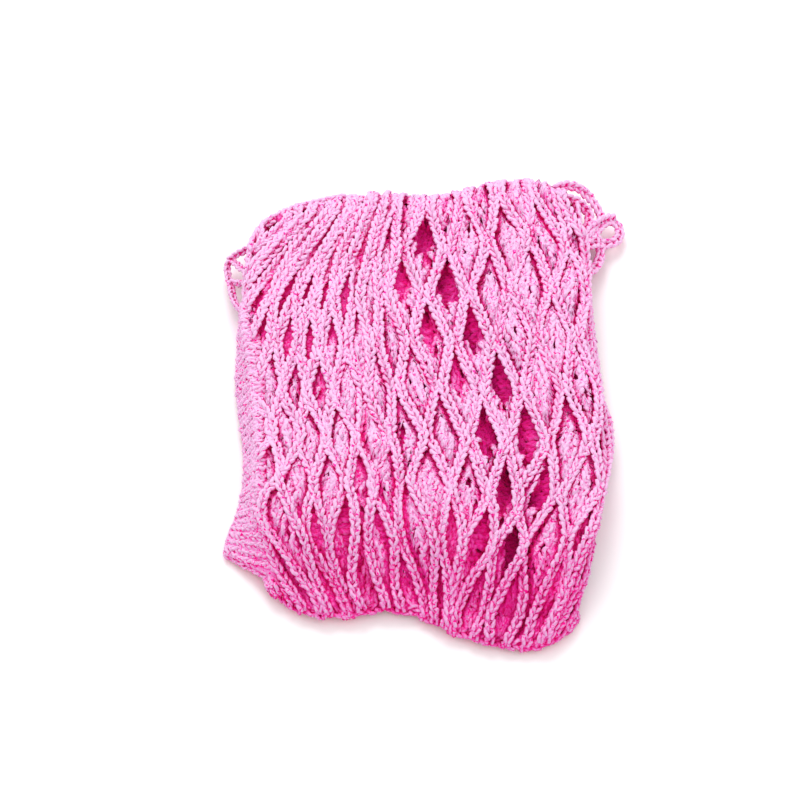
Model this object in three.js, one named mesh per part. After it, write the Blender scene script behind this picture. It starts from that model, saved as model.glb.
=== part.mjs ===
// Crocheted mesh shopping bag, lying folded in half on a flat surface.
//
// The net is a tube of chain cords, closed along the base. It is pressed flat to two walls, then folded
// once across its length, so four layers lie on each other. The fold is at the far end (+Y). The base lies
// at the near end (-Y) and droops over the mouth, which lies under it, a little set back. A solid crocheted
// strap lies along the left side (-X) and turns back under itself at the near end.
//
// Millimetres, +Z up, resting on z = 0.

import * as THREE from "three";

// Driving dimensions: the cord and the layers
const CORD_WIDTH = 5.2;
const CORD_THICK = 4.4;
const KNOT_RAISE = 0.8;
const LAYER_PITCH = 6.9;
const FOLD_RADIUS = 7.6;

// Driving dimensions: the net, counted in diamonds across one wall and half diamonds along it
const COLUMNS = 8;
const ROWS = 16;
const AROUND = 2 * COLUMNS;
const HALF_COLUMN = 0.5;
const FOLD_START_ROW = 8.1;
const FOLD_END_ROW = 8.95;
const BASE_ROUND_ROWS = 0.25;
const SIDE_ROUND_COLUMNS = 0.3;
const KNOT_HALF_ROWS = 0.32;
const KNOT_HALF_COLUMNS = 0.15;
const RIM_HALF_ROWS = 0.1;
const RIM_HALF_COLUMNS = 0.2;

// Step in columns and rows over which directions on the net are measured
const SMALL_STEP = 0.02;

// Where a cord has sections on its way from knot to knot (0 to 1)
const FOLD_CORD_SECTIONS = [0.36, 0.45, 0.55, 0.64];
const DROOP_CORD_SECTIONS = [0.4, 0.65];
const UPPER_CORD_SECTIONS = [0.5];
const LOWER_CORD_SECTIONS = [];

// Driving dimensions: how the folded bag lies
const MOUTH_SETBACK = 38;
const DROOP_START = 7;
const DROOP_LENGTH = 28;
const CROWN = 0.25;
const CROWN_HALF_WIDTH = 92;
const CROWN_HALF_LENGTH = 132;
const VALLEY_DEPTH = 0.12;
const VALLEY_HALF_WIDTH = 16;
const MIDDLE_COLUMNS_WIDEN = 0.015;
const NEST_COLUMNS = 0.35;
const NEST_ROWS = 3;
const LOWER_RUN_SHIFT = 3;
const LOWER_RUN_INSET = 4;

// Colour of the yarn
const PINK_NET = 0xe58fbf;
const PINK_STRAP = 0xdc84b6;
const YARN_ROUGHNESS = 0.9;

// Far and near edges of the folded bag, a row for each section across it from left (0) to right (1)
const SECTIONS_ACROSS = [
  { at: 0.0, far: 102, near: -97 },
  { at: 0.125, far: 115, near: -108 },
  { at: 0.25, far: 124, near: -112 },
  { at: 0.375, far: 126, near: -107 },
  { at: 0.5, far: 123, near: -109 },
  { at: 0.625, far: 126, near: -120 },
  { at: 0.75, far: 130, near: -128 },
  { at: 0.875, far: 131, near: -129.2 },
  { at: 1.0, far: 122, near: -116 },
];

// Left and right edges, and where the shallow valley on top lies, a row for each section from near (0) to
// far (1)
const SECTIONS_ALONG = [
  { at: 0.0, left: -72, right: 76, valley: 34 },
  { at: 0.125, left: -77, right: 81, valley: 37 },
  { at: 0.25, left: -78, right: 85, valley: 38 },
  { at: 0.375, left: -78, right: 90, valley: 38 },
  { at: 0.5, left: -78, right: 90, valley: 36 },
  { at: 0.625, left: -79, right: 87, valley: 32 },
  { at: 0.75, left: -85, right: 85, valley: 24 },
  { at: 0.875, left: -85, right: 84, valley: 14 },
  { at: 1.0, left: -74, right: 79, valley: 8 },
];

// Side knots that hang out of the bundle as loose loops
const LOOSE_LOOPS = [
  { name: "right far", around: COLUMNS, row: 8, outX: 18.5, outY: -10, outZ: -5 },
  { name: "left far", around: 0, row: 10, outX: -17.2, outY: 12, outZ: 0 },
];

// The strap, a row for each section from its far end to the turn at the near end: where its upper edge lies,
// how steeply the band leans and how far its lower edge lies behind the upper one
const STRAP_WIDTH = 22;
const STRAP_THICK = 4.6;
const STRAP_RIBS = 5;
const STRAP_RIB_HEIGHT = 0.6;
const STRAP_TURN_STEPS = 6;
const STRAP_RETURN_LENGTH = 60;
const STRAP_SECTIONS = [
  { y: 54, edgeX: -91.8, edgeZ: 20.0, lean: 86, skew: 0 },
  { y: 40, edgeX: -90.4, edgeZ: 22.0, lean: 80, skew: 0 },
  { y: 24, edgeX: -86.4, edgeZ: 23.2, lean: 70, skew: 0 },
  { y: 2, edgeX: -83.2, edgeZ: 23.5, lean: 60, skew: 0 },
  { y: -18, edgeX: -83.0, edgeZ: 23.0, lean: 55, skew: 1 },
  { y: -40, edgeX: -82.6, edgeZ: 22.0, lean: 46, skew: 3 },
  { y: -60, edgeX: -81.8, edgeZ: 19.5, lean: 33, skew: 7 },
  { y: -76, edgeX: -79.8, edgeZ: 15.0, lean: 18, skew: 13 },
  { y: -88, edgeX: -77.6, edgeZ: 10.5, lean: 6, skew: 18 },
];

// Smooth reading of one column of an evenly spaced table
function readTable(table, column, at) {
  const last = table.length - 1;
  const place = THREE.MathUtils.clamp(at, 0, 1) * last;
  const first = Math.min(Math.floor(place), last - 1);
  const part = place - first;
  const value = (index) => table[THREE.MathUtils.clamp(index, 0, last)][column];
  const before = value(first - 1);
  const start = value(first);
  const end = value(first + 1);
  const after = value(first + 2);
  const slopeStart = (end - before) / 2;
  const slopeEnd = (after - start) / 2;
  const square = part * part;
  const cube = square * part;
  return (
    (2 * cube - 3 * square + 1) * start +
    (cube - 2 * square + part) * slopeStart +
    (3 * square - 2 * cube) * end +
    (cube - square) * slopeEnd
  );
}

// Height of a rounded edge: 0 at the edge, 1 from the rounding length inward
function roundedEdge(distance, length) {
  const inward = Math.min(distance / length, 1);
  return Math.sqrt(Math.max(1 - (1 - inward) ** 2, 0));
}

// Height above the surface, lifted in the middle of the bundle and lowered along the valley. The lowest layer
// stays where it is.
function crownedHeight(height, x, y, valleyX) {
  const fromMiddleX = Math.min(Math.abs(x) / CROWN_HALF_WIDTH, 1);
  const fromMiddleY = Math.min(Math.abs(y) / CROWN_HALF_LENGTH, 1);
  const swell = CROWN * (1 - fromMiddleX ** 2) * (1 - fromMiddleY ** 2);
  const dip = VALLEY_DEPTH * Math.exp(-(((x - valleyX) / VALLEY_HALF_WIDTH) ** 2));
  const floorHeight = CORD_THICK / 2;
  return floorHeight + (height - floorHeight) * (1 + swell - dip);
}

// Middle of the net's thickness. around counts columns about the tube: 0 is the left side, COLUMNS the right
// side, with the outer wall between them and the inner wall on the way back. row counts from the base to the
// mouth.
function netPoint(around, row) {
  const turn = ((around % AROUND) + AROUND) % AROUND;
  const outerWall = turn <= COLUMNS;
  const column = outerWall ? turn : AROUND - turn;
  const plainAcross = column / COLUMNS;
  const widened = plainAcross - MIDDLE_COLUMNS_WIDEN * Math.sin(2 * Math.PI * plainAcross);
  const nesting = outerWall ? 0 : NEST_COLUMNS * THREE.MathUtils.smoothstep(row, 0, NEST_ROWS);
  const across = widened + (nesting / COLUMNS) * Math.sin(Math.PI * plainAcross);

  const fromSide = Math.min(column, COLUMNS - column);
  const wallHeight = (LAYER_PITCH / 2) * roundedEdge(fromSide, SIDE_ROUND_COLUMNS);
  const offset = (outerWall ? 1 : -1) * wallHeight * roundedEdge(row, BASE_ROUND_ROWS);

  const lowerZ = CORD_THICK / 2 + LAYER_PITCH / 2;
  const upperZ = lowerZ + 2 * FOLD_RADIUS;
  const near = readTable(SECTIONS_ACROSS, "near", across);
  const foldY = readTable(SECTIONS_ACROSS, "far", across) - FOLD_RADIUS - (LAYER_PITCH + CORD_THICK) / 2;

  let y;
  let z;
  let along;
  let below = 0;
  if (row <= FOLD_START_ROW) {
    along = row / FOLD_START_ROW;
    y = near + along * (foldY - near);
    const rise = THREE.MathUtils.clamp((y - near - DROOP_START) / DROOP_LENGTH, 0, 1);
    const slope = Math.atan((6 * rise * (1 - rise) * (upperZ - lowerZ)) / DROOP_LENGTH);
    y -= offset * Math.sin(slope);
    z = lowerZ + (upperZ - lowerZ) * rise * rise * (3 - 2 * rise) + offset * Math.cos(slope);
  } else if (row <= FOLD_END_ROW) {
    const angle = (Math.PI * (row - FOLD_START_ROW)) / (FOLD_END_ROW - FOLD_START_ROW);
    const radius = FOLD_RADIUS + offset;
    along = 1;
    y = foldY + radius * Math.sin(angle);
    z = lowerZ + FOLD_RADIUS + radius * Math.cos(angle);
    below = (1 - Math.cos(angle)) / 2;
  } else {
    const back = (row - FOLD_END_ROW) / (ROWS - FOLD_END_ROW);
    y = foldY + back * (near + MOUTH_SETBACK - foldY);
    z = lowerZ - offset;
    along = (y - near) / (foldY - near);
    below = 1;
  }

  const left = readTable(SECTIONS_ALONG, "left", along) + below * LOWER_RUN_INSET;
  const right = readTable(SECTIONS_ALONG, "right", along) - below * LOWER_RUN_INSET;
  const x = left + across * (right - left) + below * LOWER_RUN_SHIFT * Math.sin(Math.PI * across);
  const valleyX = readTable(SECTIONS_ALONG, "valley", along);
  return new THREE.Vector3(x, y, crownedHeight(z, x, y, valleyX));
}

// The net with its loose side loops pulled out: a pull fades to nothing one row and one column away
function pulledPoint(around, row) {
  const point = netPoint(around, row);
  for (const loop of LOOSE_LOOPS) {
    const apart = Math.abs(around - loop.around) % AROUND;
    const columnsAway = Math.min(apart, AROUND - apart) / HALF_COLUMN;
    const rowsAway = Math.abs(row - loop.row);
    const pull = Math.max(1 - Math.max(columnsAway, rowsAway), 0);
    point.x += loop.outX * pull;
    point.y += loop.outY * pull;
    point.z += loop.outZ * pull;
  }
  return point;
}

// Collects corner points and faces of one closed solid
class SolidMaker {
  constructor() {
    this.positions = [];
    this.faces = [];
  }

  corner(point) {
    this.positions.push(point.x, point.y, Math.max(point.z, 0));
    return this.positions.length / 3 - 1;
  }

  triangle(a, b, c) {
    this.faces.push(a, b, c);
  }

  distance(a, b) {
    const at = this.positions;
    return Math.hypot(at[3 * a] - at[3 * b], at[3 * a + 1] - at[3 * b + 1], at[3 * a + 2] - at[3 * b + 2]);
  }

  // Two triangles, split along the shorter diagonal
  quad(a, b, c, d) {
    if (this.distance(a, c) <= this.distance(b, d)) {
      this.triangle(a, b, c);
      this.triangle(a, c, d);
    } else {
      this.triangle(b, c, d);
      this.triangle(b, d, a);
    }
  }

  mesh(name, color) {
    const geometry = new THREE.BufferGeometry();
    geometry.setAttribute("position", new THREE.Float32BufferAttribute(this.positions, 3));
    geometry.setIndex(this.faces);
    geometry.computeVertexNormals();
    const material = new THREE.MeshStandardMaterial({ color, roughness: YARN_ROUGHNESS, metalness: 0 });
    const mesh = new THREE.Mesh(geometry, material);
    mesh.name = name;
    return mesh;
  }
}

function direction(from, to) {
  return to.clone().sub(from).normalize();
}

// A point of the net's middle layer with the way out of the tube there
function netFrame(around, row) {
  const rowHere = Math.max(row, SMALL_STEP);
  const east = direction(netPoint(around - SMALL_STEP, rowHere), netPoint(around + SMALL_STEP, rowHere));
  const onBase = row < SMALL_STEP;
  const onBaseFold = onBase && around > 0 && around < COLUMNS;
  let north;
  if (onBaseFold) {
    north = direction(netPoint(AROUND - around, rowHere), netPoint(around, rowHere));
  } else if (onBase) {
    north = new THREE.Vector3(around === 0 ? -1 : 1, 1, 0).normalize();
  } else {
    north = direction(netPoint(around, rowHere - SMALL_STEP), netPoint(around, rowHere + SMALL_STEP));
  }
  const out = new THREE.Vector3().crossVectors(east, north).normalize();
  return { place: pulledPoint(around, row), out };
}

// Knots of the net. Each has its cords and, after each cord, the corner where that cord's edge meets the next
// one's, counter-clockwise seen from outside the tube.
function knotKey(around, row) {
  return `${((around % AROUND) + AROUND) % AROUND}:${row}`;
}

function makeKnots() {
  const knots = new Map();
  for (let row = 0; row <= ROWS; row += 1) {
    const start = row % 2 === 0 ? 0 : HALF_COLUMN;
    const end = row === 0 ? COLUMNS + 1 : AROUND;
    for (let around = start; around < end; around += 1) {
      const { cords, cornersAt } = knotLayout(around, row);
      knots.set(knotKey(around, row), { around, row, cords, cornersAt, ...netFrame(around, row) });
    }
  }
  return knots;
}

// A cord to another knot. flip marks one that joins the base to the inner wall.
function cordTo(around, row, flip = false) {
  return { to: knotKey(flip && row === 0 ? AROUND - around : around, row), around, row, flip };
}

function knotLayout(around, row) {
  const half = HALF_COLUMN;
  const tall = KNOT_HALF_ROWS;
  const wide = KNOT_HALF_COLUMNS;
  if (row === 0) {
    const forward = [cordTo(around + half, 1), cordTo(around - half, 1)];
    if (around % COLUMNS === 0) {
      const inward = around === 0 ? wide : -wide;
      return { cords: forward, cornersAt: [[around, tall], [around + inward, 0]] };
    }
    const behind = AROUND - around;
    return {
      cords: [...forward, cordTo(behind + half, 1, true), cordTo(behind - half, 1, true)],
      cornersAt: [[around, tall], [around - wide, 0], [behind, tall], [around + wide, 0]],
    };
  }
  const below = [around - half, around + half].map((place) => {
    const sharedWithOuterWall = row === 1 && place > COLUMNS && place < AROUND;
    return cordTo(place, row - 1, sharedWithOuterWall);
  });
  if (row === ROWS) {
    const rim = [cordTo(around + 1, row), cordTo(around - 1, row)];
    const rimRows = RIM_HALF_ROWS;
    const rimColumns = RIM_HALF_COLUMNS;
    return {
      cords: [...rim, ...below],
      cornersAt: [
        [around, row + rimRows],
        [around - rimColumns, row - rimRows],
        [around, row - tall],
        [around + rimColumns, row - rimRows],
      ],
    };
  }
  return {
    cords: [cordTo(around + half, row + 1), cordTo(around - half, row + 1), ...below],
    cornersAt: [[around, row + tall], [around - wide, row], [around, row - tall], [around + wide, row]],
  };
}

// Outside and inside corner points at one place of the net
function pairedCorners(solid, place, out) {
  return {
    outside: solid.corner(place.clone().addScaledVector(out, CORD_THICK / 2)),
    inside: solid.corner(place.clone().addScaledVector(out, -CORD_THICK / 2)),
  };
}

function setKnotCorners(solid, knot) {
  knot.corners = knot.cornersAt.map(([around, row]) => {
    const { place, out } = netFrame(around, row);
    return pairedCorners(solid, place, out);
  });
}

// Outside and inside of a knot, raised a little in the middle unless it lies on the surface
function addKnotFaces(solid, knot) {
  const count = knot.corners.length;
  if (count < 3) return;
  const onSurface = knot.out.z < -0.5 && knot.place.z < CORD_THICK;
  const outsideRaise = onSurface ? 0 : KNOT_RAISE;
  const top = solid.corner(knot.place.clone().addScaledVector(knot.out, CORD_THICK / 2 + outsideRaise));
  const bottom = solid.corner(knot.place.clone().addScaledVector(knot.out, -CORD_THICK / 2 - KNOT_RAISE));
  for (let index = 0; index < count; index += 1) {
    const corner = knot.corners[index];
    const next = knot.corners[(index + 1) % count];
    solid.triangle(top, corner.outside, next.outside);
    solid.triangle(bottom, next.inside, corner.inside);
  }
}

// Where a cord has sections between its knots: more where it goes round the fold or over the droop
function cordSections(knot, cord) {
  const low = Math.min(knot.row, cord.row);
  if (low === Math.floor(FOLD_START_ROW)) return FOLD_CORD_SECTIONS;
  if (low === 0) return DROOP_CORD_SECTIONS;
  return low < FOLD_START_ROW ? UPPER_CORD_SECTIONS : LOWER_CORD_SECTIONS;
}

// One cord from its knot to the next, as a band with an outside, an inside and two edges
function addCord(solid, knots, knot, cord, slot) {
  const other = knots.get(cord.to);
  const knotHere = knotKey(knot.around, knot.row);
  const otherSlot = other.cords.findIndex((back) => back.to === knotHere && back.flip === cord.flip);
  const cornerBefore = (owner, index) => {
    const count = owner.corners.length;
    return owner.corners[(index + count - 1) % count];
  };
  const startAround = cord.flip ? AROUND - knot.around : knot.around;
  const placeAt = (part) => {
    const around = startAround + (cord.around - startAround) * part;
    return netFrame(around, knot.row + (cord.row - knot.row) * part);
  };
  const edges = [{ left: knot.corners[slot], right: cornerBefore(knot, slot) }];
  for (const part of cordSections(knot, cord)) {
    const { place, out } = placeAt(part);
    const way = direction(placeAt(part - SMALL_STEP).place, placeAt(part + SMALL_STEP).place);
    const leftWay = new THREE.Vector3().crossVectors(out, way).normalize();
    const edge = (side) => place.clone().addScaledVector(leftWay, (side * CORD_WIDTH) / 2);
    edges.push({ left: pairedCorners(solid, edge(1), out), right: pairedCorners(solid, edge(-1), out) });
  }
  edges.push({ left: cornerBefore(other, otherSlot), right: other.corners[otherSlot] });
  for (let step = 0; step < edges.length - 1; step += 1) {
    const from = edges[step];
    const to = edges[step + 1];
    solid.quad(from.right.outside, to.right.outside, to.left.outside, from.left.outside);
    solid.quad(from.left.inside, to.left.inside, to.right.inside, from.right.inside);
    solid.quad(from.left.outside, to.left.outside, to.left.inside, from.left.inside);
    solid.quad(from.right.inside, to.right.inside, to.right.outside, from.right.outside);
  }
}

function makeNetBody() {
  const solid = new SolidMaker();
  const knots = makeKnots();
  for (const knot of knots.values()) setKnotCorners(solid, knot);
  for (const knot of knots.values()) {
    addKnotFaces(solid, knot);
    knot.cords.forEach((cord, slot) => {
      const runsUp = cord.row > knot.row;
      const runsOnAlongRim = cord.row === knot.row && slot === 0;
      if (runsUp || runsOnAlongRim) addCord(solid, knots, knot, cord, slot);
    });
  }
  return solid.mesh("net_body", PINK_NET);
}

// One point of the strap's middle layer and the way out of its face. across runs from the upper edge (0) to
// the lower one (1).
function strapPoint(section, across) {
  const lean = THREE.MathUtils.degToRad(section.lean);
  const down = across * STRAP_WIDTH;
  const place = new THREE.Vector3(
    section.edgeX - down * Math.cos(lean),
    section.y + section.skew * (across - 0.5),
    section.edgeZ - down * Math.sin(lean),
  );
  return { place, out: new THREE.Vector3(-Math.sin(lean), 0, Math.cos(lean)) };
}

// The strap's layer from its far end, down the left side, round the turn and back along the surface
function strapRuns(across) {
  const floorZ = STRAP_THICK / 2;
  const run = STRAP_SECTIONS.map((section) => ({ ...strapPoint(section, across), ribbed: true }));
  const end = run[run.length - 1].place;
  const radius = (end.z - floorZ) / 2;
  for (let step = 1; step <= STRAP_TURN_STEPS; step += 1) {
    const angle = (Math.PI * step) / STRAP_TURN_STEPS;
    const out = new THREE.Vector3(0, -Math.sin(angle), Math.cos(angle));
    const place = new THREE.Vector3(end.x, end.y, floorZ + radius).addScaledVector(out, radius);
    run.push({ place, out, ribbed: step < STRAP_TURN_STEPS });
  }
  const back = new THREE.Vector3(end.x, end.y + STRAP_RETURN_LENGTH, floorZ);
  run.push({ place: back, out: new THREE.Vector3(0, 0, -1), ribbed: false });
  return run;
}

function makeStrap() {
  const solid = new SolidMaker();
  const acrossSteps = 2 * STRAP_RIBS;
  const lines = [];
  for (let step = 0; step <= acrossSteps; step += 1) {
    const onRib = step % 2 === 1;
    lines.push(strapRuns(step / acrossSteps).map(({ place, out, ribbed }) => {
      const half = STRAP_THICK / 2 - (ribbed && !onRib ? STRAP_RIB_HEIGHT : 0);
      return {
        outside: solid.corner(place.clone().addScaledVector(out, half)),
        inside: solid.corner(place.clone().addScaledVector(out, -half)),
      };
    }));
  }
  const stations = lines[0].length;
  for (let step = 0; step < acrossSteps; step += 1) {
    const here = lines[step];
    const next = lines[step + 1];
    for (let at = 0; at < stations - 1; at += 1) {
      solid.quad(here[at].outside, next[at].outside, next[at + 1].outside, here[at + 1].outside);
      solid.quad(here[at].inside, here[at + 1].inside, next[at + 1].inside, next[at].inside);
    }
    const last = stations - 1;
    solid.quad(here[0].outside, here[0].inside, next[0].inside, next[0].outside);
    solid.quad(here[last].outside, next[last].outside, next[last].inside, here[last].inside);
  }
  const upper = lines[0];
  const lower = lines[acrossSteps];
  for (let at = 0; at < stations - 1; at += 1) {
    solid.quad(upper[at].outside, upper[at + 1].outside, upper[at + 1].inside, upper[at].inside);
    solid.quad(lower[at].outside, lower[at].inside, lower[at + 1].inside, lower[at + 1].outside);
  }
  return solid.mesh("strap", PINK_STRAP);
}

const part = new THREE.Group();
part.name = "mesh_shopping_bag";
part.add(makeNetBody());
part.add(makeStrap());

export default part;
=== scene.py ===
import math
from collections import namedtuple

import bpy
import numpy as np
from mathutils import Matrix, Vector


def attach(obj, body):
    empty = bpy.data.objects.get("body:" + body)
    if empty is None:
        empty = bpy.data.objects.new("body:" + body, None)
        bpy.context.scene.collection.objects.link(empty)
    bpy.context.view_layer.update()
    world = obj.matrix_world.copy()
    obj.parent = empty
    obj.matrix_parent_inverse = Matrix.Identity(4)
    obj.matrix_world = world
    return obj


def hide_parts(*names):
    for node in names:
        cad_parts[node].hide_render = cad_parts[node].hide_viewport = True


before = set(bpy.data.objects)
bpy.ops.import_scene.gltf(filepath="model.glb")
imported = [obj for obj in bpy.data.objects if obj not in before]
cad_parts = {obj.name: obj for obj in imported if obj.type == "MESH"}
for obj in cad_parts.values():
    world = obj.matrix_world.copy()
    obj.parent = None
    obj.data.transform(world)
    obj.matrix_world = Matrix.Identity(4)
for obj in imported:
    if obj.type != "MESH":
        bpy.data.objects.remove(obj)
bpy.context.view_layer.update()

MM = 0.001
RANDOM = np.random.default_rng(41)

# The edge of a change, where its share is 0, and how long it takes to reach 1
Span = namedtuple("Span", "start length")
# An uneven amount, how fast it changes across and along the net, and its seed
Stray = namedtuple("Stray", "amount across along seed")

# Folded bundle, in mm
CORD_THICK = 4.4
LAYER_PITCH = 6.9
OUTER_LEVEL = LAYER_PITCH / 2
FOLD_RADIUS = 7.6
SIDE_COLUMNS = 8
ROWS = 16
MIDDLE_ROW = 4
FOLD_START_ROW = 8.1
FOLD_END_ROW = 8.95
BASE_ROUND_ROWS = 0.25
SIDE_ROUND_COLUMNS = 0.3
MOUTH_SETBACK = 38
LOWER_RUN_SHARE = 0.84
DROOP_START = 4
DROOP_LENGTH = 42
CROWN = 0.25
CROWN_HALF_WIDTH = 92
CROWN_HALF_LENGTH = 132
VALLEY_DEPTH = 0.12
VALLEY_HALF_WIDTH = 16
LOWER_RUN_SHIFT = 3
LOWER_RUN_INSET = 4
CORNER_SWEEP = 2
CORNER_SWEEP_START = 0.76
LOWEST_MIDDLE = 2.4
FLOOR_CLEARANCE = 0.05

# Far and near edge of the bundle, from its left side to its right
EdgeAcross = namedtuple("EdgeAcross", "far near")
SECTIONS_ACROSS = [
    EdgeAcross(109.5, -101),
    EdgeAcross(116.5, -111.5),
    EdgeAcross(120.5, -112.7),
    EdgeAcross(122.8, -109.3),
    EdgeAcross(122.2, -113.4),
    EdgeAcross(125.3, -122.6),
    EdgeAcross(130, -128),
    EdgeAcross(131, -128.8),
    EdgeAcross(122, -118),
]

# Left and right edge of the bundle and the bottom of its valley, from the near end to the far fold
EdgeAlong = namedtuple("EdgeAlong", "left right valley")
SECTIONS_ALONG = [
    EdgeAlong(-75, 71.5, 36),
    EdgeAlong(-80, 77.4, 38),
    EdgeAlong(-82, 83.4, 46),
    EdgeAlong(-82, 88.2, 40),
    EdgeAlong(-82, 85.8, 33),
    EdgeAlong(-84, 81.6, 20),
    EdgeAlong(-89, 80.6, 5),
    EdgeAlong(-90, 81.2, 4),
    EdgeAlong(-85.5, 78, 8),
]

# Net columns: the far half is gathered at the left and open at the right
NET_COLUMNS = 10
LINE_STEP = 0.5
LINES = round(NET_COLUMNS / LINE_STEP)
NET_PHASE = 0.22
OPENING = Span(0.05, 0.42)
ColumnPlace = namedtuple("ColumnPlace", "near far")
COLUMN_PLACES = [
    ColumnPlace(-0.290, -0.048),
    ColumnPlace(-0.160, 0.040),
    ColumnPlace(-0.020, 0.128),
    ColumnPlace(0.120, 0.216),
    ColumnPlace(0.270, 0.304),
    ColumnPlace(0.430, 0.392),
    ColumnPlace(0.600, 0.522),
    ColumnPlace(0.750, 0.651),
    ColumnPlace(0.880, 0.777),
    ColumnPlace(1.010, 0.905),
    ColumnPlace(1.140, 1.010),
]

# The net's lines draw together towards both ends of the bundle, and more of them come up at its sides
DrawIn = namedtuple("DrawIn", "along reach share power")
FAR_LEFT = DrawIn(along=0.34, reach=0.46, share=0.25, power=1.9)
FAR_RIGHT = DrawIn(along=0.82, reach=0.45, share=0.06, power=1.5)
NEAR_LEFT = DrawIn(along=0.5, reach=0.75, share=0.26, power=1.2)
NEAR_RIGHT = DrawIn(along=0.45, reach=0.6, share=0.23, power=1.2)
DRAW_IN_BEYOND = -0.4
DRAW_IN_MOST = 1.6
SIDE_LINES_LEFT = 12
SIDE_LINES_RIGHT = 8
SIDE_PLACE = 0.09
SIDE_PLACE_FAR_LEFT = 0.12
SIDE_PLACE_WIDENS = Span(0.25, 0.35)
SIDE_SHOWN = 0.06
SIDE_SHOWN_GROWS = Span(0, 1.5)
SIDE_LEAN = 0.9
SIDE_LEAN_WIDTH = 0.05

# Knots, and how unevenly the chains lie between them
KNOT_GAP_OPEN = 3.7
KNOT_GAP_NEAR = 2.4
KNOT_GAP_CLOSED = 2.2
KNOT_GAP_NEAR_ENDS = Span(0.3, 0.2)
KNOT_LIFT = 0.8
KNOT_LIFT_POWER = 3
KNOT_SHARPNESS = 0.98
KNOT_LENGTH = 1.08
GATHERED_COLUMNS = Span(0.5, 0.2)
SWING_LEAST = 0.04
SWING_MOST = 0.2
SWING_AT_BASE = 0.95
SWING_GROWS = Span(0.6, 2.2)
OUTER_SEED = 5
INNER_SEED = 6
EVEN_SHARE = 0.7
EVEN_ACROSS = Span(0.4, 0.2)
EVEN_ALONG = Span(0.1, 0.25)
SWING_STRAY = Stray(0.5, 0.9, 0.9, 60)
PHASE_STRAY = Stray(0.25, 0.5, 0.5, 30)
PLACE_STRAY = Stray(0.24, 0.8, 0.8, 0)
CRUMPLE_STRAY = Stray(0.26, 2.3, 1.9, 90)
CRUMPLE_ROWS = Span(3.2, 1.6)
NORMAL_STEP = 0.4
NO_LENGTH = 1e-4

# Chain stitch: one turn of yarn, side in half widths, along in stitches, out in the chain's depths
StitchPoint = namedtuple("StitchPoint", "side along out")
CHAIN_STITCH = [
    StitchPoint(-0.14, 0.00, -0.35),
    StitchPoint(-0.40, 0.32, 0.50),
    StitchPoint(-0.84, 0.74, 0.55),
    StitchPoint(-0.90, 1.12, 0.10),
    StitchPoint(0.00, 1.42, -0.60),
    StitchPoint(0.90, 1.12, 0.10),
    StitchPoint(0.84, 0.74, 0.55),
    StitchPoint(0.40, 0.32, 0.50),
    StitchPoint(0.14, 0.00, -0.35),
    StitchPoint(0.00, 0.50, -0.95),
]
STITCH_REACH = max(point.along for point in CHAIN_STITCH)
STITCH_SIDE = max(point.side for point in CHAIN_STITCH)

# Kinds of chain, lengths in mm: sides are those of the yarn's section, ragged and twist how unevenly it lies
Chain = namedtuple("Chain", "width pitch yarn depth sides ragged twist")
NET_CHAIN = Chain(width=6.3, pitch=4.3, yarn=2.2, depth=1.1, sides=6, ragged=0.26, twist=0.5)
UNDER_CHAIN = Chain(width=6.6, pitch=5.2, yarn=2.4, depth=1.5, sides=4, ragged=0.1, twist=0.3)
FILL_CHAIN = Chain(width=6.2, pitch=4.4, yarn=2.5, depth=0.6, sides=5, ragged=0.34, twist=0.6)
LINING_CHAIN = Chain(width=7.6, pitch=5.2, yarn=3.4, depth=0.8, sides=4, ragged=0.2, twist=0.2)
LOOP_CHAIN = Chain(width=5.8, pitch=3.7, yarn=2.2, depth=1.2, sides=6, ragged=0.18, twist=0.9)
FINE_LOOP_CHAIN = Chain(width=4.4, pitch=3.3, yarn=1.7, depth=1.1, sides=6, ragged=0.15, twist=0.9)
STRAP_CHAIN = Chain(width=5.6, pitch=3.8, yarn=2.0, depth=1.0, sides=6, ragged=0.26, twist=0.25)
TWIST_SPEED = 0.06
TWIST_SPREAD = 3.7
TWIST_SEED = 7
YARN_UNEVEN = 0.07
YARN_UNEVEN_SPEED = 0.9
YARN_UNEVEN_STARTS = 7
SHORTEST = 1e-9
SAMPLE_STEP = 0.05


def smooth(x):
    x = np.clip(x, 0, 1)
    return x * x * (3 - 2 * x)


def smooth_slope(x):
    return 6 * x * (1 - x)


def rising(x, span):
    """0 up to the span's start, then smoothly up to 1."""
    return smooth((x - span.start) / span.length)


def falling(x, span):
    """1 at first, then smoothly down to 0 at the span's start."""
    return smooth((span.start - x) / span.length)


def blend(start, end, part):
    return start + (end - start) * part


def read_table(values, at):
    """A smooth curve through evenly spaced values, read at 0 to 1."""
    values = np.asarray(values, float)
    last = len(values) - 1
    place = np.clip(at, 0, 1) * last
    low = np.minimum(place.astype(int), last - 1)
    part = place - low
    index = np.arange(last + 1)
    slopes = (values[np.minimum(index + 1, last)] - values[np.maximum(index - 1, 0)]) / 2
    start, end = values[low], values[low + 1]
    start_slope, end_slope = slopes[low], slopes[low + 1]
    square, cube = part**2, part**3
    return (
        start * (2 * cube - 3 * square + 1)
        + start_slope * (cube - 2 * square + part)
        + end * (3 * square - 2 * cube)
        + end_slope * (cube - square)
    )


def read_column(table, name, at):
    return read_table([getattr(row, name) for row in table], at)


def rounded_edge(distance, length):
    return np.sqrt(np.maximum(1 - (1 - np.minimum(distance / length, 1)) ** 2, 0))


def line_lengths(points):
    """How far along a line each of its points lies."""
    return np.concatenate([[0], np.cumsum(np.linalg.norm(np.diff(points, axis=0), axis=1))])


WANDER_WAVES = 6
WANDER_SLOWEST = 0.5
WANDER_FASTEST = 1.5
WANDER_LAST_START = 6.3


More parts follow.
